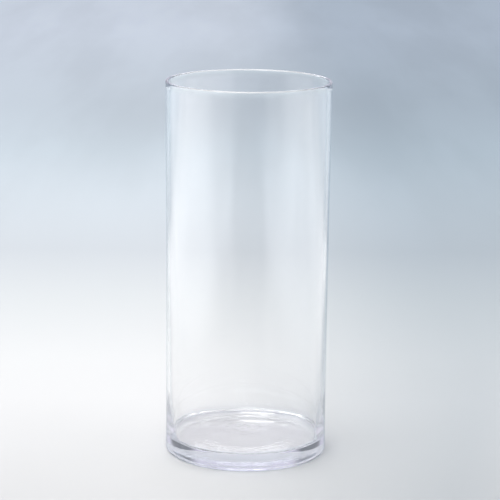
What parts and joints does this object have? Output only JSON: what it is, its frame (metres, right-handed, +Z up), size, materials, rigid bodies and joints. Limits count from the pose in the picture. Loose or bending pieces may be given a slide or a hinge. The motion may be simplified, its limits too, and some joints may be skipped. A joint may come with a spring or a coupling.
{
  "type": "cylinder vase",
  "caption": "Tall clear glass cylinder vase with a thick glass floor, a rounded inside corner and a smooth rounded rim, for long-stemmed flowers.",
  "frame": {"origin": "middle of the circle that the vase stands on, in the plane of the surface under it", "axes": "+Z up along the axis of the cylinder, from the floor to the open mouth; the vase is round, so X and Y are any two level directions"},
  "size_m": [0.1512, 0.1512, 0.347],
  "materials": {
    "clear_glass": "clear, smooth and fire-polished, with a faint blue-violet cast where the glass is thick"
  },
  "bodies": {
    "root": {"glass_vase": "clear_glass"}
  },
  "joints": []
}
